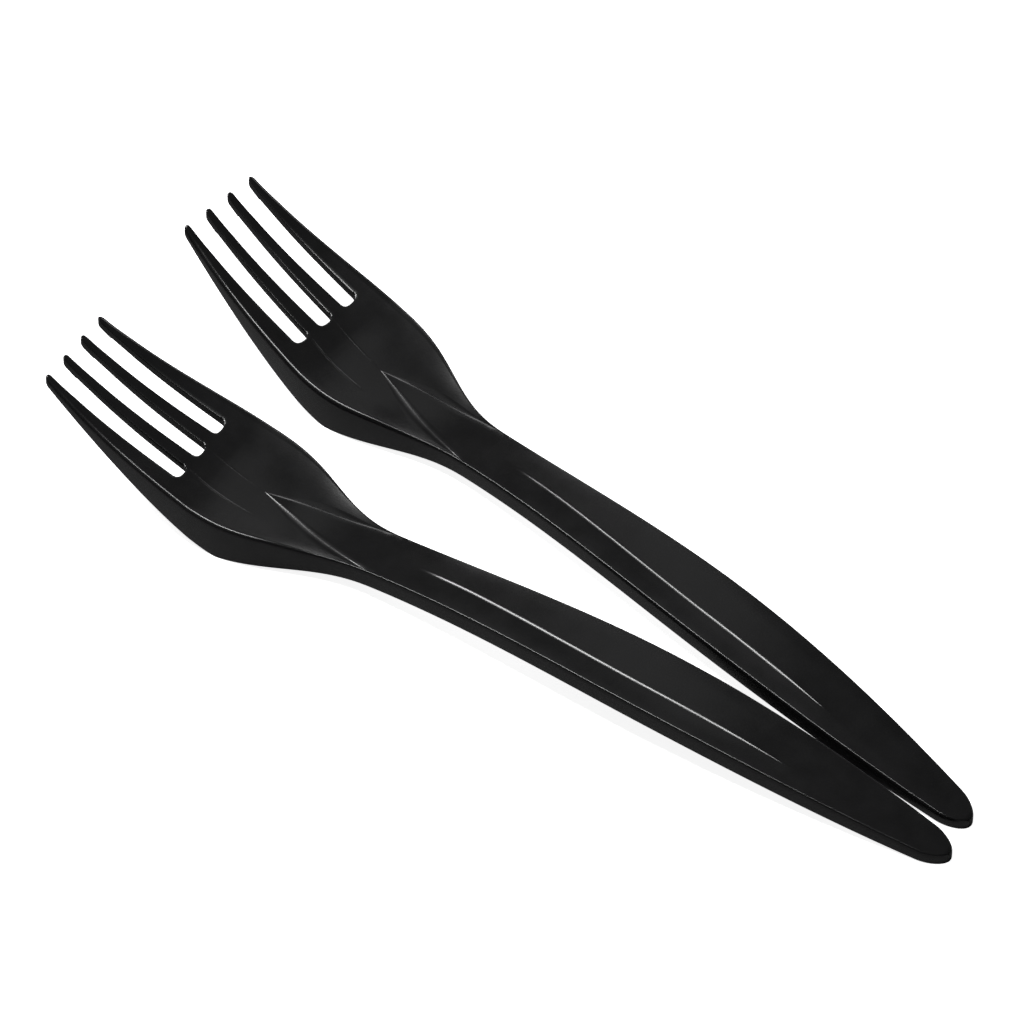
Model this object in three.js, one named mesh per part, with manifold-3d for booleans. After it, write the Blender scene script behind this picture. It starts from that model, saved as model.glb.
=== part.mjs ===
// A pair of moulded plastic forks lying face up in a narrow V, handle ends together.
// Millimetres, +Z up. The surface they lie on is z = 0.
// The origin is at the middle of the pair's footprint. The tines point to -X.
//
// Each fork is one moulding: a thin top plate with a down-turned wall all round its
// edge, open underneath. It is worked out in its own frame, where x runs from the
// handle end to the tine tips, +y is the fork's left side and z = 0 is the surface.

import * as THREE from 'three';
import * as BufferGeometryUtils from 'three/addons/utils/BufferGeometryUtils.js';
import Module from 'manifold-3d';

// Lengths along the fork
const handleLength = 112.6; // handle end to the narrowest point of the neck
const bulgeFromEnd = 58; // handle end to the widest point of the handle
const shoulderLength = 35; // neck to the widest point of the head
const slotRootLength = 5; // widest point of the head to the slot roots
const tineLength = 27; // slot roots to the tine tips
const noseLength = 5; // rounded stretch of the handle end
const tipRounding = 0.9; // rounded stretch of each tine tip
const wedgeLength = 26.2; // neck to the point of the raised wedge
const wallRunIn = 5; // neck to where the wall starts to deepen
const solidTip = 3; // stretch of the tines with no hollow under it

// Widths in plan
const endWidth = 5.5; // handle end, before its rounding
const handleWidth = 13.7;
const neckWidth = 10.3;
const headWidth = 24.6;
const tineSpread = 17.5; // across the outer tines at their tips
const slotRootWidth = 3.1;
const slotRootPitch = 6.05;
const slotTipPitch = 5.38;
const tineTipWidth = 1.35;
const tineCount = 4;

// Heights and thicknesses
const archRise = 5.5; // clearance under the middle of the handle
const bellyFromNeck = 29.5; // neck to where the head touches the surface
const tipRise = 20.2; // underside of the tine tips above the surface
const endHeight = 2.2;
const handleHeight = 3.7;
const shoulderHeight = 8.4;
const tineTipHeight = 1.7;
const plateThickness = 1.6;
const wallThickness = 1.3;
const edgeRadius = 0.9;
const wallLean = 0.3; // how far the deep wall of the shoulder leans in at its foot
const bowlDepth = 1.1;
const wedgeBury = 0.25; // the wedge's ends lie this far under the plate
const creaseRise = 0.45;
const creaseOffset = 2.3; // crease to the handle's centreline, towards its left side
const creaseFade = 28; // plain stretch of the handle before the crease

// The pair on the surface
const spreadAngle = 10.9; // degrees between the two forks
const endSpacing = 7.9; // between the two handle ends
const endStagger = 1.6; // the rear fork's handle end lies this much further back

// Mesh fineness
const lengthSteps = 60;
const plateSteps = 6;
const edgeSteps = 2;
const wallSteps = 2;
const noseSteps = 5;
const slotSteps = 7;
const cutMargin = 2;
const weldDistance = 0.0005; // corners closer than this are one corner

const neckAt = handleLength;
const bellyAt = neckAt + bellyFromNeck;
const shoulderAt = neckAt + shoulderLength;
const slotRootAt = shoulderAt + slotRootLength;
const forkLength = slotRootAt + tineLength;
const slotTipWidth = slotTipPitch - tineTipWidth;

const clamp01 = (t) => Math.min(1, Math.max(0, t));
const mix = (a, b, t) => a + (b - a) * t;
const share = (x, from, to) => clamp01((x - from) / (to - from));
const easeOut = (t) => 1 - (1 - t) ** 2;
const smooth = (t) => t * t * (3 - 2 * t);
const smoother = (t) => t ** 3 * (t * (6 * t - 15) + 10);

// Rounding of both ends in plan: near zero at the very end, one where the round stops.
function endRounding(x) {
  const nose = 1 - share(x, 0, noseLength);
  const tip = share(x, forkLength - tipRounding, forkLength);
  const tipPart = tineTipWidth / tineSpread;
  return Math.sqrt(1 - 0.85 * nose ** 2) * (1 - tipPart * smooth(tip));
}

function halfWidth(x) {
  let width = mix(endWidth, handleWidth, easeOut(share(x, 0, bulgeFromEnd)));
  if (x > bulgeFromEnd) width = mix(handleWidth, neckWidth, smooth(share(x, bulgeFromEnd, neckAt)));
  if (x > neckAt) width = mix(neckWidth, headWidth, smoother(share(x, neckAt, shoulderAt)));
  if (x > shoulderAt) width = mix(headWidth, tineSpread, share(x, shoulderAt, forkLength) ** 1.3);
  return (width / 2) * endRounding(x);
}

// Height of the wall's foot above the surface.
function footHeight(x) {
  const arch = Math.sin(Math.PI * share(x, 0, bellyAt) ** 1.05);
  if (x < bellyAt) return archRise * Math.max(0, arch) ** 1.1;
  return tipRise * share(x, bellyAt, forkLength) ** 1.28;
}

// Height of the edge wall, from its foot to the rim.
function wallHeight(x) {
  if (x < bulgeFromEnd) return mix(endHeight, handleHeight, easeOut(share(x, 0, bulgeFromEnd)));
  const deepening = smoother(share(x, neckAt + wallRunIn, bellyAt));
  if (x < bellyAt) return mix(handleHeight, shoulderHeight, deepening);
  return mix(shoulderHeight, tineTipHeight, smooth(share(x, bellyAt, forkLength)));
}

function rimHeight(x) {
  return footHeight(x) + wallHeight(x);
}

// The crease leaves the centreline at the neck and runs down the handle off-centre.
function creaseLine(x) {
  return creaseOffset * (1 - smooth(share(x, bulgeFromEnd, neckAt)));
}

function creaseHeight(x) {
  const start = smooth(share(x, creaseFade / 2, creaseFade));
  const end = 1 - smooth(share(x, neckAt - shoulderLength / 2, neckAt));
  return creaseRise * start * end;
}

function bowl(x) {
  const start = smooth(share(x, neckAt, shoulderAt));
  const end = 1 - smooth(share(x, shoulderAt, forkLength));
  return bowlDepth * start * end;
}

// Height of the top plate. Side goes from -1 at the right edge over 0 at the crease
// to 1 at the left edge.
function plateHeight(x, side) {
  const ridge = creaseHeight(x) * (1 - Math.abs(side));
  return rimHeight(x) + ridge - bowl(x) * (1 - side ** 2);
}

// Stations along the fork, closer together in the rounded handle end.
function stations() {
  const list = [0];
  for (let i = 1; i <= noseSteps; i++) {
    list.push(noseLength * (1 - Math.cos((i / noseSteps) * Math.PI / 2)));
  }
  const plainSteps = lengthSteps - noseSteps;
  for (let i = 1; i <= plainSteps; i++) list.push(mix(noseLength, forkLength, i / plainSteps));
  return list;
}

// A box whose cross-sections are moved to the places that the section function gives.
function sweptBox(along, acrossSteps, upSteps, section) {
  const steps = along.length - 1;
  const box = new THREE.BoxGeometry(1, 1, 1, steps, acrossSteps, upSteps);
  const position = box.attributes.position;
  for (let i = 0; i < position.count; i++) {
    const x = along[Math.round((position.getX(i) + 0.5) * steps)];
    const { y, z } = section(x, position.getY(i) * 2, position.getZ(i) + 0.5);
    position.setXYZ(i, x, y, z);
  }
  return box;
}

// Outer section. Across goes from -1 to 1 and up from 0 at the foot to 1 at the top.
function outerSection(x, across, up) {
  const half = halfWidth(x);
  const radius = Math.min(edgeRadius, wallHeight(x) / 2, half / 2);
  const edgeStart = plateSteps / (plateSteps + 2 * edgeSteps);
  const side = Math.abs(across);
  const flatHalf = half - radius;
  let y = mix(creaseLine(x) * endRounding(x), Math.sign(across) * flatHalf, side / edgeStart);
  let top = plateHeight(x, clamp01(side / edgeStart) * Math.sign(across));
  if (side > edgeStart) {
    const turn = ((side - edgeStart) / (1 - edgeStart)) * (Math.PI / 2);
    y = Math.sign(across) * (flatHalf + radius * Math.sin(turn));
    top = rimHeight(x) - radius * (1 - Math.cos(turn));
  }
  const lean = wallLean * (wallHeight(x) / shoulderHeight) ** 2 * (1 - up);
  return { y: y * (1 - lean / half), z: mix(footHeight(x), top, up) };
}

// The hollow under the plate, from below the wall's foot up to the plate's underside.
function hollowSection(x, across, up) {
  const half = halfWidth(x) - wallThickness;
  const lean = wallLean * (wallHeight(x) / shoulderHeight) ** 2 * (1 - up);
  const top = plateHeight(x, across) - plateThickness;
  const middle = creaseLine(x) * (1 - Math.abs(across)) * up;
  return { y: middle + across * (half - lean), z: mix(footHeight(x) - cutMargin, top, up) };
}

const wasm = await Module();
wasm.setup();

function solid(geometry) {
  const bare = geometry.clone();
  bare.deleteAttribute('normal');
  bare.deleteAttribute('uv');
  const merged = BufferGeometryUtils.mergeVertices(bare, weldDistance);
  const mesh = new wasm.Mesh({
    numProp: 3,
    vertProperties: new Float32Array(merged.attributes.position.array),
    triVerts: new Uint32Array(merged.index.array),
  });
  return new wasm.Manifold(mesh);
}

function geometryOf(body) {
  const mesh = body.getMesh();
  const cut = new THREE.BufferGeometry();
  cut.setAttribute('position', new THREE.BufferAttribute(mesh.vertProperties, 3));
  cut.setIndex(new THREE.BufferAttribute(mesh.triVerts, 1));
  const merged = BufferGeometryUtils.mergeVertices(cut, weldDistance);
  const corners = merged.index.array;
  const kept = [];
  for (let i = 0; i < corners.length; i += 3) {
    const [a, b, c] = [corners[i], corners[i + 1], corners[i + 2]];
    if (a !== b && b !== c && c !== a) kept.push(a, b, c);
  }
  merged.setIndex(kept);
  merged.computeVertexNormals();
  return merged;
}

// One slot between two tines: a round root, straight flanks and a flared mouth.
function slotCutter(index) {
  const place = index - (tineCount - 2) / 2;
  const rootY = place * slotRootPitch;
  const tipY = place * slotTipPitch;
  const rootHalf = slotRootWidth / 2;
  const tipHalf = slotTipWidth / 2;
  const mouthHalf = tipHalf + tineTipWidth * 0.3;
  const mouthAt = forkLength - tipRounding;
  const outline = new THREE.Shape();
  outline.moveTo(slotRootAt + rootHalf, rootY + rootHalf);
  outline.absarc(slotRootAt + rootHalf, rootY, rootHalf, Math.PI / 2, (3 * Math.PI) / 2, false);
  outline.lineTo(mouthAt, tipY - tipHalf);
  outline.quadraticCurveTo(forkLength, tipY - tipHalf, forkLength + 0.01, tipY - mouthHalf);
  outline.lineTo(forkLength + cutMargin, tipY - mouthHalf);
  outline.lineTo(forkLength + cutMargin, tipY + mouthHalf);
  outline.lineTo(forkLength + 0.01, tipY + mouthHalf);
  outline.quadraticCurveTo(forkLength, tipY + tipHalf, mouthAt, tipY + tipHalf);
  const depth = tipRise + shoulderHeight + 2 * cutMargin;
  const cutter = new THREE.ExtrudeGeometry(outline, {
    depth,
    bevelEnabled: false,
    curveSegments: slotSteps,
  });
  cutter.translate(0, 0, -cutMargin);
  return solid(cutter);
}

// The raised wedge where the handle runs out into the bowl, its point on the centreline.
// Its flat top starts and ends just under the plate and stands proud in between.
function wedge() {
  const pointAt = neckAt + wedgeLength;
  const baseHalf = halfWidth(neckAt) - edgeRadius;
  const outline = new THREE.Shape();
  outline.moveTo(neckAt, -baseHalf);
  outline.lineTo(pointAt, 0);
  outline.lineTo(neckAt, baseHalf);
  const block = new THREE.ExtrudeGeometry(outline, { depth: 1, bevelEnabled: false });
  const position = block.attributes.position;
  for (let i = 0; i < position.count; i++) {
    const top = plateHeight(position.getX(i), 0) - wedgeBury;
    position.setZ(i, position.getZ(i) > 0.5 ? top : top - 2 * plateThickness);
  }
  return solid(block);
}

function forkGeometry() {
  const along = stations();
  const acrossSteps = plateSteps + 2 * edgeSteps;
  const outer = solid(sweptBox(along, acrossSteps, wallSteps, outerSection));
  const hollowFrom = wallThickness + noseLength;
  const under = along.filter((x) => x > hollowFrom && x < forkLength - solidTip);
  const hollow = solid(sweptBox(under, plateSteps, 1, hollowSection));
  let body = outer.add(wedge()).subtract(hollow);
  for (let i = 0; i < tineCount - 1; i++) body = body.subtract(slotCutter(i));
  return geometryOf(body);
}

const blackPlastic = { color: 0x1b1b1c, roughness: 0.42, metalness: 0 };

function fork(name, geometry) {
  const mesh = new THREE.Mesh(geometry, new THREE.MeshStandardMaterial(blackPlastic));
  mesh.name = name;
  return mesh;
}

const group = new THREE.Group();
const geometry = forkGeometry();

const front = fork('fork_front', geometry.clone());
front.rotation.z = Math.PI + THREE.MathUtils.degToRad(spreadAngle / 2);
front.position.set(endStagger / 2, -endSpacing / 2, 0);
group.add(front);

const rear = fork('fork_rear', geometry.clone());
rear.rotation.z = Math.PI - THREE.MathUtils.degToRad(spreadAngle / 2);
rear.position.set(-endStagger / 2, endSpacing / 2, 0);
group.add(rear);

const footprint = new THREE.Box3().setFromObject(group, true);
const footprintMiddle = footprint.getCenter(new THREE.Vector3());
for (const piece of group.children) {
  piece.position.x -= footprintMiddle.x;
  piece.position.y -= footprintMiddle.y;
}

export default group;
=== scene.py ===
"""Looks of a pair of black moulded forks that lie face up side by side.

Each fork is one fine mesh that stands for its CAD node. It starts as a flat grid that is
given a thickness by an extrusion, and the grid is then drawn over the fork's own form.
Sizes inside the shape functions are millimetres in the fork's own frame: x runs from the
handle end to the tine tips, +y is the fork's left side and z = 0 is the surface.
"""

import math

import bmesh
import bpy
from bpy.props import FloatProperty, FloatVectorProperty, PointerProperty
from mathutils import Matrix, Vector


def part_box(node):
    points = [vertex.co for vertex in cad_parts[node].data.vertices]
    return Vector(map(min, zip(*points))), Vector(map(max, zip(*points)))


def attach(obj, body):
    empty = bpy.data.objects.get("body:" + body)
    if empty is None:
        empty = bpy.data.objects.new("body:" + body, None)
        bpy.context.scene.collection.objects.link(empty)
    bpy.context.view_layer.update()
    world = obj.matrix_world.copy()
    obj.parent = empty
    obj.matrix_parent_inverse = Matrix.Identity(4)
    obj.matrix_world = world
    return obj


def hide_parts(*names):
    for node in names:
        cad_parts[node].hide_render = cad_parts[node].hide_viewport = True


bl_info = {
    "name": "Moulded Fork Pair",
    "version": (1, 0, 0),
    "blender": (4, 5, 0),
    "location": "3D View > Sidebar > Fork Pair",
    "description": "Builds a pair of black moulded forks and the plain stage they lie on",
    "category": "Add Mesh",
}

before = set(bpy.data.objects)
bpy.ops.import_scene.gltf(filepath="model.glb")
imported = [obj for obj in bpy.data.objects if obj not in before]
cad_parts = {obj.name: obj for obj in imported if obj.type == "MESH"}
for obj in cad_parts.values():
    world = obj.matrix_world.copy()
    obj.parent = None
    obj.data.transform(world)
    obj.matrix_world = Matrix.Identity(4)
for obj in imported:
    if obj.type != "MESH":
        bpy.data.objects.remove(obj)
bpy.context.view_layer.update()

MM = 0.001

# Places and lengths along the fork. All lengths are in millimetres, down to the stage.
BULGE_AT = 58.0
SHOULDER_LENGTH = 35.0
SLOT_ROOT_LENGTH = 5.0
NOSE_LENGTH = 5.0
TIP_ROUNDING = 0.9
WALL_RUN_IN = 5.0
BELLY_FROM_NECK = 29.5
SOLID_TIP = 3.0

# Widths
SLOT_ROOT_WIDTH = 3.1
SLOT_ROOT_PITCH = 6.05
SLOT_TIP_PITCH = 5.38
TINE_TIP_WIDTH = 1.35
TINES = 4

# Heights and thicknesses of the edge wall; its foot keeps a share of its thickness, and its
# rounded edge stays a little over its foot
END_HEIGHT = 2.2
TINE_TIP_HEIGHT = 1.7
WALL_THICKNESS = 1.3
WALL_LEAN = 0.3
INNER_DRAFT = 0.02
FOOT_WIDTH = 0.92
LEAST_EDGE = 0.3

# Exponents that bend the outline and the underside, where 1 would leave them even
HEAD_TAPER = 1.3
ARCH_LEAN = 1.05
ARCH_FULLNESS = 1.1
TIP_CURVE = 1.28

# Roundings in plan: how much of the width the nose and the tine tips lose at their ends
NOSE_NARROWING = 0.99
TIP_NARROWING = 0.96

# Roundings of the edges; on the handle the rounding is a narrower share of the edge radius
HANDLE_EDGE = 0.42
NOSE_EDGE = 0.7
TINE_TIP_EDGE = 0.5
SLOT_EDGE_RADIUS = 0.28

# Squarish slot ends: the corner's size and how square it is
SLOT_CORNER = 1.15
SLOT_SQUARENESS = 2.7

# Broad crown of the handle: its band inside each long edge, its rise, where it comes in,
# and where it runs out, counted from the neck
CROWN_BAND = 3.0
CROWN_RISE = 0.15
CROWN_IN = (3.0, 15.0)
CROWN_OUT = (-10.0, 4.0)

# Crease on the handle: a narrow sloping strip between a higher and a lower flat
CREASE_FROM = 33.0
CREASE_RUN_IN = 10.0
CREASE_OFFSET = 2.3
STRIP_WIDTH = 0.56
STRIP_DROP = 0.22

# How far before the crease its rise and the strip's drop begin, the share of its width that
# the strip starts with, and where it runs out, counted from the neck
CREASE_LEAD = 8.0
STRIP_LEAD = 2.0
STRIP_START = 0.12
STRIP_OUT = (-11.0, -2.0)

# Bowl: where it deepens, counted from the neck
BOWL_IN = (-1.0, 18.0)

# Shallow fold in the bowl: its depth and reach, its offset and bow from the middle, and
# where it comes in and runs out, counted from the neck
FOLD_DEPTH = 0.07
FOLD_REACH = 4.0
FOLD_OFFSET = 4.4
FOLD_BOW = 1.3
FOLD_IN = (11.4, 21.4)
FOLD_OUT = (35.4, 43.4)

# Raised wedge that carries the handle's flat top into the bowl. Its start and its point are
# counted from the neck, and its half width grows by the taper from a tip that is cut short.
WEDGE_START = -0.6
WEDGE_POINT = 26.9
WEDGE_TAPER = 0.2
WEDGE_TIP_CUT = 0.4
WEDGE_EDGE_GAP = 0.03

# The wedge starts a little under the handle's top and comes out of it, and it slopes down
# to the bowl over its last stretch
WEDGE_SINK = 0.03
WEDGE_LIFT = 0.012
WEDGE_LIFT_RUN_IN = 7.0
WEDGE_PROUD = 0.03
WEDGE_PROUD_RUN_IN = 8.0
WEDGE_SLOPE_LENGTH = 20.0

# The wedge's sides: they start inside its half width and run out in the bowl, over a length
# that is a multiple of their height
WEDGE_SHOULDER = 0.15
WEDGE_MARGIN = 0.15
WEDGE_RUN = 5.6
WEDGE_LEAST_RUN = 0.15
WEDGE_LEAST_DROP = 0.03
WEDGE_SIDE_SINK = 0.02
WEDGE_DEPTH = 1.0

# Flow lines in the bowl: start and end from the neck, sideways bow, width and height
FLOW_LINES = (
    ((40.4, 4.5), (25.2, 5.6), 0.3, 0.4, 0.05),
    ((40.4, -1.5), (26.4, 0.0), 0.0, 0.4, 0.032),
)
LINE_SINK = 0.008
LINE_DEPTH = 0.3
LINE_FADE = 0.35

# How far the rim's height is evened out along the fork, over how many steps each way, and
# the step of its table
SMOOTHING = 6.0
SMOOTHING_STEPS = 4
TABLE_STEP = 0.25

# Columns of the mesh: across each long edge, each tine and each slot, and how close the
# first ones lie to a slot and to the crease's strip
EDGE_COLUMNS = 6
TINE_COLUMNS = 5
SLOT_COLUMNS = 10
NEAR_SLOT = 0.1
NEAR_STRIP = 0.05

# Rows of the mesh: round the nose and the tips, close to the slot ends, and where the
# spacing changes along the handle, before and past the slot ends, and before the tips
NOSE_ROWS = 5
TIP_ROWS = 7
SLOT_END_ROWS = (0.6, 0.42, SLOT_EDGE_RADIUS, 0.18, 0.1, 0.04)
SPARSE_FROM = 7.0
CLOSE_FROM = 112.0
CLOSER_BEFORE_SLOTS = 6.0
CLOSE_PAST_SLOTS = 1.2
CLOSE_BEFORE_TIPS = 3.2

# Where the columns turn from the handle's lines to the tines' lines, where the rows bend
# round the slot ends, and where the hollow spreads to the tines
TURN_BEFORE_NECK = 4.0
TURN_BEFORE_SLOTS = 2.0
BEND_BEFORE_SLOTS = 9.0
SPREAD_BEFORE_SHOULDER = 4.0
SPREAD_BEFORE_SLOTS = 1.0

# Mesh of the wedge and of a flow line, and the length under which its corners are one
WEDGE_ROWS = 60
WEDGE_SIDE_COLUMNS = 7
WEDGE_TOP_COLUMNS = 8
LINE_ROWS = 40
LINE_COLUMNS = 4
SAME_CORNER = 0.001

# Faces that meet at more than this many degrees are shaded with a crisp edge
CRISP_ANGLE = 38

# Stage, in metres
STAGE_HALF_SIZE = 4.0
# Height of the sheet of painted shade that the forks mirror in place of the floor
REFLECTED_SHADE_HEIGHT = 0.00005
FLOOR_GLOW = 0.88

# Soft lights: name, place, aim, direction of the long side, length, width and power in watts
LIGHTS = (
    ("overhead", (-0.38, -0.14, 0.86), (0, 0, 0), (1, 0, 0), 0.9, 0.11, 10.5),
    ("above", (-0.285, 0.56, 0.775), (0, 0, 0), (-0.54, 0.84, 0), 0.6, 0.2, 0.125),
    ("beside", (0.3, 1.15, 0.5), (0, 0, 0.02), (1, -0.2, 0), 0.8, 0.25, 1.8),
    ("behind", (-0.72, 0.92, 0.4), (0, 0, 0.02), (0.79, 0.61, 0), 1.2, 0.24, 2.6),
)

# Camera: where it looks, its direction in degrees, its distance in metres and its lens
CAMERA_AIM = (-0.0154, 0.01075, 0.0)
CAMERA_AZIMUTH = 38.04
CAMERA_ELEVATION = 50.15
CAMERA_DISTANCE = 1.5
CAMERA_SENSOR = 36
CAMERA_LENS = 300.65
CAMERA_NEAR = 0.05


def clamp01(t):
    return min(1.0, max(0.0, t))


def mix(a, b, t):
    return a + (b - a) * t


def share(x, low, high):
    return clamp01((x - low) / (high - low))


def ease_out(t):
    return 1 - (1 - t) ** 2


def smooth(t):
    return t * t * (3 - 2 * t)


def smoother(t):
    return t**3 * (t * (6 * t - 15) + 10)


def fillet_drop(distance, radius):
    """How far a rounded edge lies under its flat at this distance from the edge."""
    if distance >= radius:
        return 0.0
    inward = radius - max(distance, 0.0)
    return radius - math.sqrt(radius * radius - inward * inward)


class ForkForm:
    """The fork's outline and heights along its length, from the scene's sizes."""

    def __init__(self, sizes):
        self.end_width = sizes.end_width / MM
        self.handle_width = sizes.handle_width / MM
        self.neck_width = sizes.neck_width / MM
        self.head_width = sizes.head_width / MM
        self.tine_spread = sizes.tine_spread / MM
        self.arch_rise = sizes.arch_rise / MM
        self.tip_rise = sizes.tip_rise / MM
        self.handle_height = sizes.handle_height / MM
        self.shoulder_height = sizes.shoulder_height / MM
        self.plate = sizes.plate_thickness / MM
        self.edge_radius = sizes.edge_radius / MM
        self.bowl_depth = sizes.bowl_depth / MM
        self.crease_rise = sizes.crease_rise / MM
        self.neck = sizes.handle_length / MM
        self.belly = self.neck + BELLY_FROM_NECK
        self.shoulder = self.neck + SHOULDER_LENGTH
        self.slot_root = self.shoulder + SLOT_ROOT_LENGTH
        self.length = self.slot_root + sizes.tine_length / MM
        self.root_row = self.slot_root + SLOT_CORNER
        self.wedge_start = self.neck + WEDGE_START
        self.wedge_point = self.neck + WEDGE_POINT
        steps = range(2 * SMOOTHING_STEPS + 1)
        spread = [SMOOTHING * (k / SMOOTHING_STEPS - 1) for k in steps]
        places = [k * TABLE_STEP for k in range(int(self.length / TABLE_STEP) + 2)]
        self.rims = [self.even_rim(x, spread) for x in places]

    def past_neck(self, x, stretch):
        """Share of a stretch that is counted from the neck."""
        return share(x, self.neck + stretch[0], self.neck + stretch[1])

    def end_rounding(self, x):
        """Share of its width that the handle keeps towards its rounded end."""
        nose = 1 - share(x, 0, NOSE_LENGTH)
        return math.sqrt(1 - NOSE_NARROWING * nose * nose)

    def half_width(self, x):
        if x <= BULGE_AT:
            bulge = ease_out(share(x, 0, BULGE_AT))
            width = mix(self.end_width, self.handle_width, bulge)
        elif x <= self.neck:
            waist = smooth(share(x, BULGE_AT, self.neck))
            width = mix(self.handle_width, self.neck_width, waist)
        elif x <= self.shoulder:
            spread = smoother(share(x, self.neck, self.shoulder))
            width = mix(self.neck_width, self.head_width, spread)
        else:
            narrowing = share(x, self.shoulder, self.length) ** HEAD_TAPER
            width = mix(self.head_width, self.tine_spread, narrowing)
        return width / 2 * self.end_rounding(x)

    def foot(self, x):
        """Height of the edge wall's foot over the surface."""
        if x < self.belly:
            arch = math.sin(math.pi * share(x, 0, self.belly) ** ARCH_LEAN)
            return self.arch_rise * max(0.0, arch) ** ARCH_FULLNESS
        return self.tip_rise * share(x, self.belly, self.length) ** TIP_CURVE

    def wall(self, x):
        """Height of the edge wall from its foot to the rim."""
        if x < BULGE_AT:
            return mix(END_HEIGHT, self.handle_height, ease_out(share(x, 0, BULGE_AT)))
        if x < self.belly:
            deepening = smoother(share(x, self.neck + WALL_RUN_IN, self.belly))
            return mix(self.handle_height, self.shoulder_height, deepening)
        thinning = smooth(share(x, self.belly, self.length))
        return mix(self.shoulder_height, TINE_TIP_HEIGHT, thinning)

    def even_rim(self, x, spread):
        """Rim height without the small kinks where two stretches meet."""
        room = min(1.0, x / SMOOTHING, max(0.0, self.length - x) / SMOOTHING)
        near = [x + room * away for away in spread]
        return sum(self.foot(place) + self.wall(place) for place in near) / len(near)

    def rim(self, x):
        """Height of the rim over the surface, from the table of evened heights."""
        place = min(max(x, 0.0), self.length) / TABLE_STEP
        step = int(place)
        return mix(self.rims[step], self.rims[step + 1], place - step)

    def radius(self, x):
        """Width of the rounding along the long edges."""
        crisp = mix(HANDLE_EDGE, 1.0, smooth(share(x, self.neck, self.shoulder)))
        return min(self.edge_radius * crisp, self.wall(x) / 2, self.half_width(x) / 2)

    def edge_drop(self, x):
        """Height of the rounding along the long edges."""
        return min(self.edge_radius, self.wall(x) / 2)

    def flat_half(self, x):
        return self.half_width(x) - self.radius(x)

    def lean(self, x):
        """How far the wall's foot lies inside its rim."""
        return WALL_LEAN * (self.wall(x) / self.shoulder_height) ** 2

    def crease_line(self, x):
        """Sideways place of the crease, off the middle until it nears the neck."""
        offset = CREASE_OFFSET * (1 - smooth(share(x, BULGE_AT, self.neck)))
        return offset * self.end_rounding(x)

    def crease_rise_at(self, x):
        start = smooth(share(x, CREASE_FROM - CREASE_LEAD, CREASE_FROM + CREASE_RUN_IN))
        end = 1 - smooth(share(x, self.neck - SHOULDER_LENGTH / 2, self.neck))
        return self.crease_rise * start * end

    def strip_half(self, x):
        grown = share(x, CREASE_FROM, CREASE_FROM + CREASE_RUN_IN)
        return STRIP_WIDTH / 2 * mix(STRIP_START, 1.0, grown)

    def strip_drop(self, x):
        start = share(x, CREASE_FROM - STRIP_LEAD, CREASE_FROM + CREASE_RUN_IN)
        return STRIP_DROP * start * (1 - smooth(self.past_neck(x, STRIP_OUT)))

    def bowl(self, x):
        """Depth of the bowl's middle under the rim."""
        end = 1 - smooth(share(x, self.shoulder, self.length))
        return self.bowl_depth * smooth(self.past_neck(x, BOWL_IN)) * end

    def crown(self, x, y):
        """Broad rounding that lifts the middle of the handle over its long edges."""
        fade = smooth(share(x, *CROWN_IN)) * (1 - smooth(self.past_neck(x, CROWN_OUT)))
        return CROWN_RISE * fade * ease_out(share(self.flat_half(x) - abs(y), 0, CROWN_BAND))

    def crease(self, x, y):
        """Height of the handle's creased top over its rim."""
        line = self.crease_line(x)
        half = self.strip_half(x)
        rise = self.crease_rise_at(x)
        drop = self.strip_drop(x)
        flat = self.flat_half(x)
        if y < line - half:
            return rise * clamp01((y + flat) / (line - half + flat))
        if y > line + half:
            return (rise - drop) * clamp01((flat - y) / (flat - line - half))
        return rise - drop * (y - line + half) / (2 * half)

    def fold(self, x, y):
        """Shallow fold in the bowl, from the left slot's inner corner to the wedge."""
        along = share(x, self.neck + FOLD_IN[0], self.slot_root)
        line = FOLD_OFFSET + FOLD_BOW * math.sin(math.pi * along)
        start = smooth(self.past_neck(x, FOLD_IN))
        end = 1 - smooth(self.past_neck(x, FOLD_OUT))
        across = max(0.0, 1 - abs(y - line) / FOLD_REACH) ** 2
        return -FOLD_DEPTH * start * end * across

    def top(self, x, y):
        """Height of the top plate, before the edges are rounded."""
        side = clamp01(abs(y) / self.flat_half(x))
        dish = self.bowl(x) * (1 - side * side)
        return self.rim(x) + self.crown(x, y) + self.crease(x, y) - dish + self.fold(x, y)

    def slot_centre(self, slot, x):
        place = slot - (TINES - 2) / 2
        pitch = mix(SLOT_ROOT_PITCH, SLOT_TIP_PITCH, share(x, self.root_row, self.length))
        return place * pitch

    def slot_half(self, x):
        tip = (SLOT_TIP_PITCH - TINE_TIP_WIDTH) / 2
        return mix(SLOT_ROOT_WIDTH / 2, tip, share(x, self.root_row, self.length))

    def from_slot(self, x, y):
        """Distance in plan from the nearest slot's outline."""
        nearest = math.inf
        for slot in range(TINES - 1):
            away = abs(y - self.slot_centre(slot, x)) / self.slot_half(x)
            if x >= self.root_row:
                nearest = min(nearest, (away - 1) * self.slot_half(x))
            else:
                behind = (self.root_row - x) / SLOT_CORNER
                squared = away**SLOT_SQUARENESS + behind**SLOT_SQUARENESS
                ring = squared ** (1 / SLOT_SQUARENESS)
                nearest = min(nearest, (ring - 1) * min(SLOT_CORNER, self.slot_half(x)))
        return nearest

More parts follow.
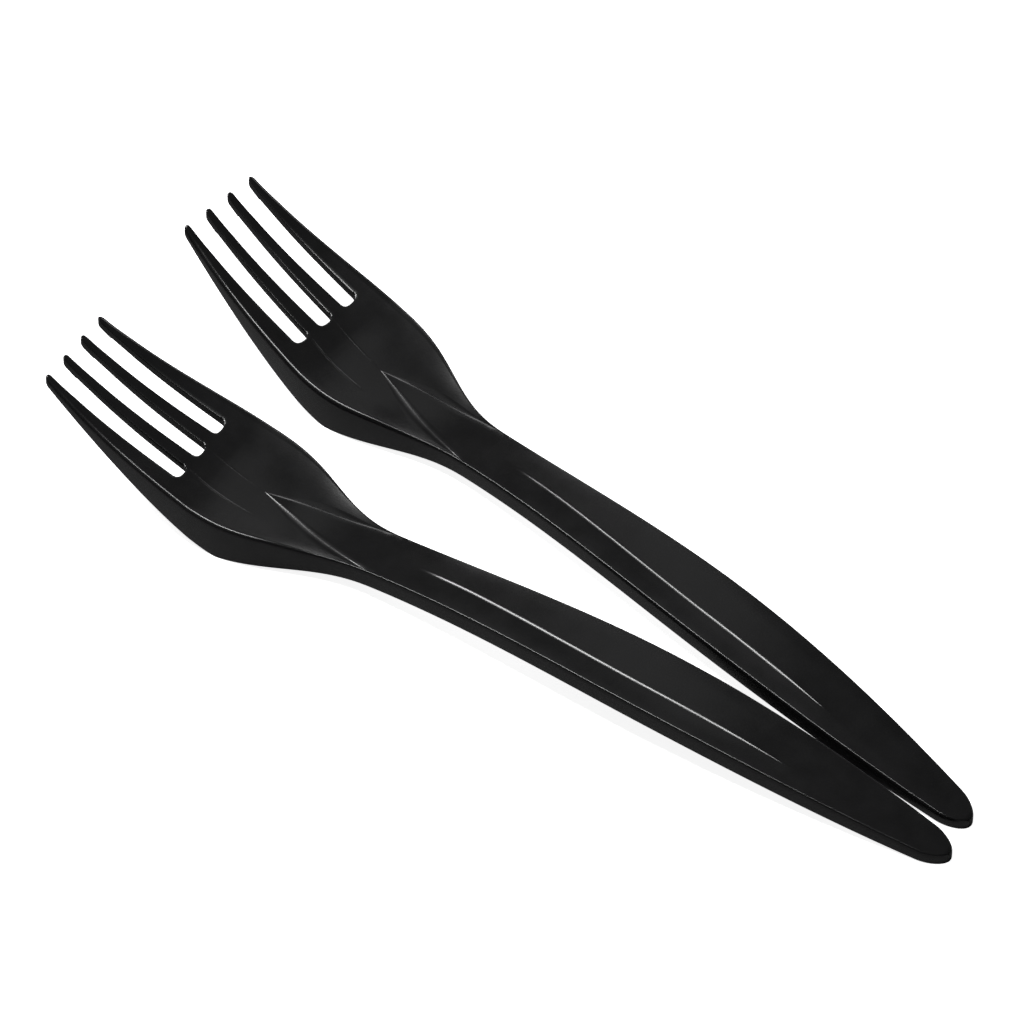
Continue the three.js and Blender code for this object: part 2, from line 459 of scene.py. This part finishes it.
    def wedge_top(self, x):
        """The handle's flat top carried on over the bowl, down to the wedge's point."""
        proud = WEDGE_PROUD * smooth(self.past_neck(x, (0, WEDGE_PROUD_RUN_IN)))
        level = self.rim(x) + self.crown(x, 0) + self.crease(x, 0) + proud
        slope = share(self.wedge_point - x, 0, WEDGE_SLOPE_LENGTH)
        out = self.past_neck(x, (WEDGE_START, WEDGE_LIFT_RUN_IN))
        return mix(self.top(x, 0), level, slope) + mix(-WEDGE_SINK, WEDGE_LIFT, out)

    def wedge_half(self, x):
        tapered = WEDGE_TAPER * (self.wedge_point + WEDGE_TIP_CUT - x)
        return min(tapered, self.half_width(x) - WEDGE_EDGE_GAP)

    def wedge_ridge(self, x):
        """Half width of the wedge's flat top."""
        inside = max(0.0, self.wedge_half(x) - WEDGE_SHOULDER)
        return min(inside, self.flat_half(x) - WEDGE_MARGIN)

    def wedge_ramp(self, x):
        """Width of each of the wedge's sides."""
        height = self.wedge_top(x) - self.top(x, self.wedge_half(x))
        run = max(WEDGE_LEAST_RUN, WEDGE_RUN * height)
        return min(run, self.flat_half(x) - self.wedge_ridge(x))


def column_plan():
    """Columns across the fork as (kind, band, place in the band), from right to left."""
    columns = [("edge", -1, k / EDGE_COLUMNS) for k in range(EDGE_COLUMNS, 0, -1)]
    for tine in range(TINES):
        near_edge = [0.0, NEAR_SLOT, SLOT_EDGE_RADIUS]
        if tine == 0:
            columns.append(("tine", tine, 0.0))
        else:
            columns += [("low", tine, d) for d in near_edge]
        inner = range(1, TINE_COLUMNS)
        columns += [("tine", tine, k / TINE_COLUMNS) for k in inner]
        if tine == TINES - 1:
            columns.append(("tine", tine, 1.0))
        else:
            columns += [("high", tine, d) for d in reversed(near_edge)]
            turns = [math.pi * (k / SLOT_COLUMNS - 0.5) for k in range(1, SLOT_COLUMNS)]
            columns += [("slot", tine, math.sin(turn)) for turn in turns]
    columns += [("edge", 1, k / EDGE_COLUMNS) for k in range(1, EDGE_COLUMNS + 1)]
    return columns


def spaced(start, end, step):
    """Places from the start to just before the end, about one step apart."""
    count = max(1, round((end - start) / step))
    return [mix(start, end, k / count) for k in range(count)]


def row_plan(form):
    """Places of the rows along the fork, closer together where the form turns."""
    slots, tips = form.root_row, form.length - TIP_ROUNDING
    turns = [math.pi / 2 * k / NOSE_ROWS for k in range(NOSE_ROWS)]
    rows = [NOSE_EDGE * (1 - math.cos(turn)) for turn in turns]
    rows += spaced(NOSE_EDGE, NOSE_LENGTH, step=0.3)
    rows += spaced(NOSE_LENGTH, SPARSE_FROM, step=0.4)
    rows += spaced(SPARSE_FROM, CLOSE_FROM, step=1.0)
    rows += spaced(CLOSE_FROM, slots - CLOSER_BEFORE_SLOTS, step=0.5)
    rows += spaced(slots - CLOSER_BEFORE_SLOTS, slots - SLOT_END_ROWS[0], step=0.3)
    rows += [slots - before for before in SLOT_END_ROWS]
    rows += spaced(slots, slots + CLOSE_PAST_SLOTS, step=0.2)
    rows += spaced(slots + CLOSE_PAST_SLOTS, form.length - CLOSE_BEFORE_TIPS, step=0.7)
    rows += spaced(form.length - CLOSE_BEFORE_TIPS, tips, step=0.3)
    turns = [math.pi / 2 * k / TIP_ROWS for k in range(TIP_ROWS + 1)]
    rows += [tips + TIP_ROUNDING * math.sin(turn) for turn in turns]
    return rows


def band_limits(form, tine, x):
    """Right and left limit of a tine's flat top at x."""
    low = -form.flat_half(x)
    high = form.flat_half(x)
    if tine > 0:
        low = form.slot_centre(tine - 1, x) + form.slot_half(x)
    if tine < TINES - 1:
        high = form.slot_centre(tine, x) - form.slot_half(x)
    return low, high


def head_place(form, column, x):
    """Sideways place of a column where it follows the tines and slots."""
    kind, band, place = column
    if kind == "slot":
        return form.slot_centre(band, x) + place * form.slot_half(x)
    low, high = band_limits(form, band, x)
    if kind == "low":
        return low + place
    if kind == "high":
        return high - place
    low += SLOT_EDGE_RADIUS if band > 0 else 0.0
    high -= SLOT_EDGE_RADIUS if band < TINES - 1 else 0.0
    return mix(low, high, place)


def handle_place(form, step, steps, x):
    """Sideways place of a column on the handle, counted from the crease."""
    line = form.crease_line(x)
    half = form.strip_half(x)
    if step == 0:
        return line
    sign = 1 if step > 0 else -1
    near = half if abs(step) == 1 else half + NEAR_STRIP
    if abs(step) <= 2:
        return line + sign * near
    reach = form.flat_half(x) - sign * line
    return line + sign * mix(near, reach, (abs(step) - 2) / (steps - 2))


def tip_pinch(form, band, x, y):
    """Draws a tine's columns towards its middle where its tip is rounded."""
    start = form.length - TIP_ROUNDING
    if x <= start or band < 0:
        return y
    t = (x - start) / TIP_ROUNDING
    low, high = band_limits(form, band, x)
    if band == 0:
        low = -form.half_width(x)
    if band == TINES - 1:
        high = form.half_width(x)
    middle = (low + high) / 2
    return middle + (y - middle) * math.sqrt(max(0.0, 1 - TIP_NARROWING * t * t))


def under_place(form, x, y):
    """Sideways place under the plate, drawn in to leave the edge wall its thickness."""
    inner = form.half_width(x) - WALL_THICKNESS
    keep = 0.0
    spread_from = form.shoulder - SPREAD_BEFORE_SHOULDER
    if x > spread_from:
        last = form.slot_centre(TINES - 2, x) + form.slot_half(x)
        spread = smooth(share(x, spread_from, form.slot_root - SPREAD_BEFORE_SLOTS))
        keep = min(last, inner - INNER_DRAFT) * spread
    side = abs(y)
    flat = form.flat_half(x)
    if side <= keep or flat <= keep:
        return y
    return math.copysign(keep + (side - keep) * (inner - keep) / (flat - keep), y)


def is_solid(form, x):
    """Whether the fork has no hollow here, as in its nose and its tine tips."""
    return x < NOSE_LENGTH + WALL_THICKNESS or x > form.length - SOLID_TIP


def end_drop(form, x):
    """How far the rounded nose and tine tips lie under the top."""
    return fillet_drop(x, NOSE_EDGE) + fillet_drop(form.length - x, TINE_TIP_EDGE)


def edge_point(form, side, place, x, is_top):
    """A corner of a long edge: its rounding on top, or its wall's inner face and foot."""
    half = form.half_width(x)
    radius = form.radius(x)
    foot = form.foot(x)
    lean = form.lean(x)
    step = round(place * EDGE_COLUMNS)
    solid = is_solid(form, x)
    inner = half - (radius if solid else WALL_THICKNESS)
    if is_top:
        turn = place * math.pi / 2
        y = half - radius + radius * math.sin(turn)
        z = form.rim(x) - form.edge_drop(x) * (1 - math.cos(turn)) - end_drop(form, x)
        z = max(z, foot + LEAST_EDGE)
    elif step == EDGE_COLUMNS:
        y, z = half - lean, foot
    elif step == EDGE_COLUMNS - 1:
        y, z = mix(half - lean, inner, FOOT_WIDTH), foot
    else:
        depth = 0.0 if solid else form.wall(x) - form.plate
        level = 1 - step / (EDGE_COLUMNS - 2)
        y = inner - (lean + INNER_DRAFT) * (1 - level)
        z = foot + depth * level
    return Vector((x, tip_pinch(form, 0 if side < 0 else TINES - 1, x, side * y), z))


def plate_point(form, columns, index, row_x, is_top):
    """A corner of the top plate with its tines and slots, or of its underside."""
    kind, band, place = columns[index]
    in_slot = kind == "slot"
    x = row_x
    if in_slot:
        bend = SLOT_CORNER * (1 - abs(place) ** SLOT_SQUARENESS) ** (1 / SLOT_SQUARENESS)
        x -= bend * share(row_x, form.root_row - BEND_BEFORE_SLOTS, form.root_row)
    y = head_place(form, columns[index], x)
    if not (in_slot and row_x >= form.root_row):
        middle = (len(columns) - 1) // 2
        on_handle = handle_place(form, index - middle, middle - EDGE_COLUMNS, x)
        turn = share(x, form.neck - TURN_BEFORE_NECK, form.slot_root - TURN_BEFORE_SLOTS)
        y = mix(on_handle, y, smoother(turn))
    z = form.top(x, y)
    if is_top:
        z -= end_drop(form, x)
        if x > form.slot_root - TURN_BEFORE_SLOTS:
            z -= fillet_drop(max(0.0, form.from_slot(x, y)), SLOT_EDGE_RADIUS)
    elif is_solid(form, x):
        z = form.foot(x)
    else:
        z -= form.plate
        y = under_place(form, x, y)
    return Vector((x, y if in_slot else tip_pinch(form, band, x, y), z))


def fork_point(form, columns, index, x, is_top):
    """Where one corner of the extruded grid goes on the fork."""
    kind, band, place = columns[index]
    if kind == "edge":
        return edge_point(form, band, place, x, is_top)
    return plate_point(form, columns, index, x, is_top)


def grown_grid(rows, columns):
    """A flat grid with a thickness: x and y count the rows and columns, z is 0 or 1."""
    mesh = bmesh.new()
    bmesh.ops.create_grid(mesh, x_segments=rows, y_segments=columns, size=0.5)
    for corner in mesh.verts:
        corner.co.x = round((corner.co.x + 0.5) * rows)
        corner.co.y = round((corner.co.y + 0.5) * columns)
        corner.co.z = 0
    return mesh


def thicken(mesh):
    """Extrudes the grid upwards, so that every corner has one above it."""
    made = bmesh.ops.extrude_face_region(mesh, geom=mesh.faces[:])
    raised = [part for part in made["geom"] if isinstance(part, bmesh.types.BMVert)]
    bmesh.ops.translate(mesh, verts=raised, vec=(0, 0, 1))


def fork_mesh(form):
    """One fork's plate, walls, slots and tines as a closed mesh in its own frame."""
    columns = column_plan()
    rows = row_plan(form)
    mesh = grown_grid(len(rows) - 1, len(columns) - 1)
    root = min(range(len(rows)), key=lambda i: abs(rows[i] - form.root_row))
    gaps = []
    for face in mesh.faces:
        middle = face.calc_center_median()
        left, right = int(middle.y), int(middle.y) + 1
        in_slot = columns[left][0] == "slot" or columns[right][0] == "slot"
        if in_slot and middle.x > root:
            gaps.append(face)
    bmesh.ops.delete(mesh, geom=gaps, context="FACES")
    thicken(mesh)
    for corner in mesh.verts:
        row, column = round(corner.co.x), round(corner.co.y)
        corner.co = fork_point(form, columns, column, rows[row], corner.co.z > 0.5)
    return mesh


def join_shape(mesh, shape):
    """Adds a finished shape to a fork's mesh."""
    spare = bpy.data.meshes.new("shape")
    shape.to_mesh(spare)
    shape.free()
    mesh.from_mesh(spare)
    bpy.data.meshes.remove(spare)


def add_wedge(mesh, form):
    """The raised wedge, let into the plate: a flat top whose sides run out in the bowl."""
    columns = 2 * WEDGE_SIDE_COLUMNS + WEDGE_TOP_COLUMNS
    wedge = grown_grid(WEDGE_ROWS, columns)
    thicken(wedge)
    for corner in wedge.verts:
        x = mix(form.wedge_start, form.wedge_point, corner.co.x / WEDGE_ROWS)
        z = form.wedge_top(x)
        ridge = form.wedge_ridge(x)
        step = corner.co.y - columns / 2
        past_ridge = (abs(step) - WEDGE_TOP_COLUMNS / 2) / WEDGE_SIDE_COLUMNS
        if past_ridge <= 0:
            y = ridge * step / (WEDGE_TOP_COLUMNS / 2)
        else:
            y = math.copysign(ridge + form.wedge_ramp(x) * past_ridge, step)
            ground = form.top(x, y) - WEDGE_SIDE_SINK
            z -= max(WEDGE_LEAST_DROP, z - ground) * ease_out(past_ridge)
        if corner.co.z < 0.5:
            z = min(form.top(x, 0), z) - WEDGE_DEPTH
        corner.co = Vector((x, y, z))
    bmesh.ops.remove_doubles(wedge, verts=wedge.verts, dist=SAME_CORNER)
    join_shape(mesh, wedge)


def add_flow_line(mesh, form, start, end, bow, width, height):
    """A hair-thin raised line on the bowl, sunk at both edges and run out at both ends."""
    line = grown_grid(LINE_ROWS, LINE_COLUMNS)
    thicken(line)
    for corner in line.verts:
        along = corner.co.x / LINE_ROWS
        across = corner.co.y / LINE_COLUMNS * 2 - 1
        rounding = math.sin(math.pi * along)
        x = form.neck + mix(start[0], end[0], along)
        y = mix(start[1], end[1], along) + bow * rounding + across * width / 2
        z = form.top(x, y)
        if corner.co.z < 0.5:
            z -= LINE_DEPTH
        else:
            rise = (height + LINE_SINK) * rounding**LINE_FADE * (1 - across * across)
            z += rise - LINE_SINK
        corner.co = Vector((x, y, z))
    join_shape(mesh, line)


def box_middle(low, high):
    return (low + high) / 2


def set_down(mesh, solid, angle):
    """Turns the fork and puts it where its CAD solid is, in metres."""
    turn = Matrix.Rotation(angle, 4, "Z") @ Matrix.Scale(MM, 4)
    bmesh.ops.transform(mesh, matrix=turn, verts=mesh.verts)
    low = Vector([min(corner.co[i] for corner in mesh.verts) for i in range(3)])
    high = Vector([max(corner.co[i] for corner in mesh.verts) for i in range(3)])
    move = box_middle(*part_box(solid)) - box_middle(low, high)
    move.z = 0
    bmesh.ops.translate(mesh, verts=mesh.verts, vec=move)


def make_piece(name, mesh, material):
    """Turns a finished bmesh into an object with smooth faces and crisp sharp edges."""
    bmesh.ops.recalc_face_normals(mesh, faces=mesh.faces)
    data = bpy.data.meshes.new(name)
    mesh.to_mesh(data)
    mesh.free()
    data.materials.append(material)
    data.shade_smooth()
    data.set_sharp_from_angle(angle=math.radians(CRISP_ANGLE))
    piece = bpy.data.objects.new(name, data)
    bpy.context.scene.collection.objects.link(piece)
    return piece


def add_node(tree, kind, **inputs):
    """A new node with the given values on its inputs; To_Min stands for "To Min"."""
    made = tree.nodes.new(kind)
    for key, value in inputs.items():
        made.inputs[key.replace("_", " ")].default_value = value
    return made


def satin_black(looks):
    """Black moulded plastic: satin, faintly mottled, with a fine grain and a slow swell."""
    material = bpy.data.materials.new("satin_black_plastic")
    material.use_nodes = True
    tree = material.node_tree
    link = tree.links.new
    shader = tree.nodes["Principled BSDF"]
    shader.inputs["IOR"].default_value = 1.5
    place = add_node(tree, "ShaderNodeTexCoord").outputs["Object"]

    # Mottling: a little darker and lighter in colour, duller and glossier with it
    cloud = add_node(tree, "ShaderNodeTexNoise", Scale=160.0, Detail=5.0, Roughness=0.6)
    link(place, cloud.inputs["Vector"])
    tint = add_node(tree, "ShaderNodeValToRGB")
    darkest, lightest = tint.color_ramp.elements
    darkest.position, lightest.position = 0.32, 0.7
    darkest.color = (*[c * 0.75 for c in looks.plastic_colour], 1)
    lightest.color = (*[c * 1.35 for c in looks.plastic_colour], 1)
    link(cloud.outputs["Fac"], tint.inputs["Fac"])
    link(tint.outputs["Color"], shader.inputs["Base Color"])
    gloss = add_node(
        tree, "ShaderNodeMapRange",
        To_Min=looks.roughness - 0.04, To_Max=looks.roughness + 0.05,
    )
    link(cloud.outputs["Fac"], gloss.inputs["Value"])
    link(gloss.outputs["Result"], shader.inputs["Roughness"])

    # Relief: the fine grain of the mould on a slow swell of the surface
    grain = add_node(tree, "ShaderNodeTexNoise", Scale=2600.0, Detail=3.0, Roughness=0.55)
    link(place, grain.inputs["Vector"])
    fine = add_node(tree, "ShaderNodeBump", Strength=0.12, Distance=0.00006)
    link(grain.outputs["Fac"], fine.inputs["Height"])
    swell = add_node(tree, "ShaderNodeTexNoise", Scale=90.0, Detail=2.0, Roughness=0.5)
    link(place, swell.inputs["Vector"])
    broad = add_node(tree, "ShaderNodeBump", Strength=0.1, Distance=0.0004)
    link(swell.outputs["Fac"], broad.inputs["Height"])
    link(fine.outputs["Normal"], broad.inputs["Normal"])
    link(broad.outputs["Normal"], shader.inputs["Normal"])
    return material


class ForkSizes(bpy.types.PropertyGroup):
    """Sizes of one fork and of the pair."""

    handle_length: FloatProperty(
        name="Handle length",
        description="Handle end to the narrowest point of the neck",
        default=0.1126, unit="LENGTH", subtype="DISTANCE",
    )
    tine_length: FloatProperty(
        name="Tine length",
        description="Slot roots to the tine tips",
        default=0.027, unit="LENGTH", subtype="DISTANCE",
    )
    end_width: FloatProperty(
        name="End width",
        description="Width of the handle end, before its rounding",
        default=0.0055, unit="LENGTH", subtype="DISTANCE",
    )
    handle_width: FloatProperty(
        name="Handle width",
        description="Width at the widest point of the handle",
        default=0.0137, unit="LENGTH", subtype="DISTANCE",
    )
    neck_width: FloatProperty(
        name="Neck width",
        description="Width at the narrowest point of the neck",
        default=0.0103, unit="LENGTH", subtype="DISTANCE",
    )
    head_width: FloatProperty(
        name="Head width",
        description="Width at the widest point of the head",
        default=0.0246, unit="LENGTH", subtype="DISTANCE",
    )
    tine_spread: FloatProperty(
        name="Tine spread",
        description="Width across the outer tines at their tips",
        default=0.0175, unit="LENGTH", subtype="DISTANCE",
    )
    arch_rise: FloatProperty(
        name="Arch rise",
        description="Clearance under the middle of the handle",
        default=0.0055, unit="LENGTH", subtype="DISTANCE",
    )
    tip_rise: FloatProperty(
        name="Tip rise",
        description="Underside of the tine tips above the surface",
        default=0.0202, unit="LENGTH", subtype="DISTANCE",
    )
    handle_height: FloatProperty(
        name="Handle wall",
        description="Height of the edge wall along the handle",
        default=0.0037, unit="LENGTH", subtype="DISTANCE",
    )
    shoulder_height: FloatProperty(
        name="Head wall",
        description="Height of the edge wall where the head touches the surface",
        default=0.0084, unit="LENGTH", subtype="DISTANCE",
    )
    plate_thickness: FloatProperty(
        name="Plate thickness",
        description="Thickness of the top plate",
        default=0.0016, unit="LENGTH", subtype="DISTANCE",
    )
    edge_radius: FloatProperty(
        name="Edge radius",
        description="Rounding between the top plate and the edge wall",
        default=0.0009, unit="LENGTH", subtype="DISTANCE",
    )
    bowl_depth: FloatProperty(
        name="Bowl depth",
        description="Depth of the bowl under its rim",
        default=0.0011, unit="LENGTH", subtype="DISTANCE",
    )
    crease_rise: FloatProperty(
        name="Crease rise",
        description="Height of the handle's crease over its rim",
        default=0.00045, unit="LENGTH", subtype="DISTANCE",
    )
    spread_angle: FloatProperty(
        name="Spread",
        description="Angle between the two forks",
        default=math.radians(10.9), unit="ROTATION", subtype="ANGLE",
    )


class ForkLooks(bpy.types.PropertyGroup):
    """Colours and finish of the forks and the stage."""

    plastic_colour: FloatVectorProperty(
        name="Plastic colour",
        description="Colour of the moulded plastic",
        default=(0.0032, 0.0032, 0.0034), size=3, min=0, max=1, subtype="COLOR",
    )
    roughness: FloatProperty(
        name="Roughness",
        description="Roughness of the satin surface",
        default=0.22, min=0, max=1, subtype="FACTOR",
    )
    floor_colour: FloatVectorProperty(
        name="Floor colour",
        description="Colour of the plain floor",
        default=(0.93, 0.93, 0.93), size=3, min=0, max=1, subtype="COLOR",
    )
    # Painted shade: the forks mirror this darker colour in place of the white floor
    reflected_shade_colour: FloatVectorProperty(
        name="Reflected shade colour",
        description="Colour of the grey card that the forks mirror in place of the floor",
        default=(0.18, 0.18, 0.18), size=3, min=0, max=1, subtype="COLOR",
    )


class SCENE_OT_moulded_forks(bpy.types.Operator):
    """Builds both forks from the sizes and sets them down where their solids are"""

    bl_idname = "scene.moulded_forks"
    bl_label = "Moulded Forks"

    def execute(self, context):
        form = ForkForm(context.scene.fork_sizes)
        plastic = satin_black(context.scene.fork_looks)
        half_spread = context.scene.fork_sizes.spread_angle / 2
        for name, turn in (("fork_front", half_spread), ("fork_rear", -half_spread)):
            mesh = fork_mesh(form)
            add_wedge(mesh, form)
            for line in FLOW_LINES:
                add_flow_line(mesh, form, *line)
            set_down(mesh, name, math.pi + turn)
            piece = make_piece(name + "_body", mesh, plastic)
            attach(piece, "root")
            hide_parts(name)
        return {"FINISHED"}


def soft_light(name, place, aim, along, length, width, power):
    """A rectangular softbox that points at a spot, its long side in line with a direction."""
    data = bpy.data.lights.new(name, "AREA")
    data.shape = "RECTANGLE"
    data.size = length
    data.size_y = width
    data.energy = power
    back = (Vector(place) - Vector(aim)).normalized()
    side = back.cross(Vector(along)).normalized()
    turn = Matrix((side.cross(back), side, back)).transposed()
    lamp = bpy.data.objects.new(name, data)
    lamp.location = place
    lamp.rotation_euler = turn.to_euler()
    bpy.context.scene.collection.objects.link(lamp)


def matte_paint(name, colour, roughness):
    """A plain stage material without highlights, and its shader."""
    paint = bpy.data.materials.new(name)
    paint.use_nodes = True
    shader = paint.node_tree.nodes["Principled BSDF"]
    shader.inputs["Base Color"].default_value = (*colour, 1)
    shader.inputs["Roughness"].default_value = roughness
    shader.inputs["Specular IOR Level"].default_value = 0.0
    return paint, shader


def stage_sheet(name, paint, height):
    """A large flat sheet at a height over the surface."""
    mesh = bmesh.new()
    bmesh.ops.create_grid(mesh, x_segments=4, y_segments=4, size=STAGE_HALF_SIZE)
    data = bpy.data.meshes.new(name)
    mesh.to_mesh(data)
    mesh.free()
    data.materials.append(paint)
    sheet = bpy.data.objects.new(name, data)
    sheet.location.z = height
    bpy.context.scene.collection.objects.link(sheet)
    return sheet


def pale_floor(looks):
    """The floor that the camera sees, which glows a little to stay near white."""
    paint, shader = matte_paint("pale_floor", looks.floor_colour, 0.9)
    shader.inputs["Emission Color"].default_value = (1, 1, 1, 1)
    shader.inputs["Emission Strength"].default_value = FLOOR_GLOW
    stage_sheet("floor", paint, 0.0).visible_glossy = False


def reflected_shade_sheet(looks):
    """Painted shade: a dark grey sheet on the floor that only the forks' gloss sees, so they
    mirror a darker floor than the white one.
    """
    paint, _ = matte_paint("reflected_shade_sheet", looks.reflected_shade_colour, 1.0)
    # The sheet of painted shade is hidden from the camera and seen only in the forks' gloss
    shade_sheet = stage_sheet("reflected_shade_sheet", paint, REFLECTED_SHADE_HEIGHT)
    shade_sheet.visible_camera = False
    shade_sheet.visible_diffuse = False
    shade_sheet.visible_shadow = False


def dim_studio():
    """Dim surroundings that get darker towards the horizon."""
    world = bpy.data.worlds.new("dim_studio")
    world.use_nodes = True
    tree = world.node_tree
    air = tree.nodes["Background"]
    air.inputs["Color"].default_value = (1, 1, 1, 1)
    direction = add_node(tree, "ShaderNodeTexCoord")
    height = add_node(tree, "ShaderNodeSeparateXYZ")
    tree.links.new(direction.outputs["Generated"], height.inputs["Vector"])
    strength = add_node(
        tree, "ShaderNodeMapRange", From_Min=0.1, From_Max=0.6, To_Min=0.02, To_Max=0.095
    )
    tree.links.new(height.outputs["Z"], strength.inputs["Value"])
    tree.links.new(strength.outputs["Result"], air.inputs["Strength"])
    return world


def viewing_camera():
    """The camera at the photograph's viewing angle."""
    azimuth = math.radians(CAMERA_AZIMUTH)
    elevation = math.radians(CAMERA_ELEVATION)
    back = Vector((
        math.sin(azimuth) * math.cos(elevation),
        -math.cos(azimuth) * math.cos(elevation),
        math.sin(elevation),
    ))
    data = bpy.data.cameras.new("camera")
    data.sensor_width = CAMERA_SENSOR
    data.lens = CAMERA_LENS
    data.clip_start = CAMERA_NEAR
    camera = bpy.data.objects.new("camera", data)
    camera.location = Vector(CAMERA_AIM) + back * CAMERA_DISTANCE
    camera.rotation_euler = (-back).to_track_quat("-Z", "Y").to_euler()
    bpy.context.scene.collection.objects.link(camera)
    return camera


class SCENE_OT_pale_stage(bpy.types.Operator):
    """Makes the plain pale floor, the soft lights and the camera"""

    bl_idname = "scene.pale_stage"
    bl_label = "Pale Stage"

    def execute(self, context):
        scene = context.scene
        pale_floor(scene.fork_looks)
        reflected_shade_sheet(scene.fork_looks)
        scene.world = dim_studio()
        for light in LIGHTS:
            soft_light(*light)
        scene.camera = viewing_camera()
        scene.view_settings.view_transform = "Standard"
        return {"FINISHED"}


class VIEW3D_PT_fork_pair(bpy.types.Panel):
    """Lists the sizes, the looks and the steps that build the pair"""

    bl_label = "Fork Pair"
    bl_space_type = "VIEW_3D"
    bl_region_type = "UI"
    bl_category = "Fork Pair"

    def draw(self, context):
        layout = self.layout
        for group in (context.scene.fork_sizes, context.scene.fork_looks):
            for name in group.bl_rna.properties.keys():
                if name not in ("rna_type", "name"):
                    layout.prop(group, name)
        layout.operator("scene.moulded_forks")
        layout.operator("scene.pale_stage")


CLASSES = (
    ForkSizes,
    ForkLooks,
    SCENE_OT_moulded_forks,
    SCENE_OT_pale_stage,
    VIEW3D_PT_fork_pair,
)


def register():
    for each in CLASSES:
        bpy.utils.register_class(each)
    bpy.types.Scene.fork_sizes = PointerProperty(type=ForkSizes)
    bpy.types.Scene.fork_looks = PointerProperty(type=ForkLooks)


def unregister():
    del bpy.types.Scene.fork_looks
    del bpy.types.Scene.fork_sizes
    for each in reversed(CLASSES):
        bpy.utils.unregister_class(each)


def main():
    register()
    bpy.ops.scene.moulded_forks()
    bpy.ops.scene.pale_stage()


if __name__ == "__main__":
    main()
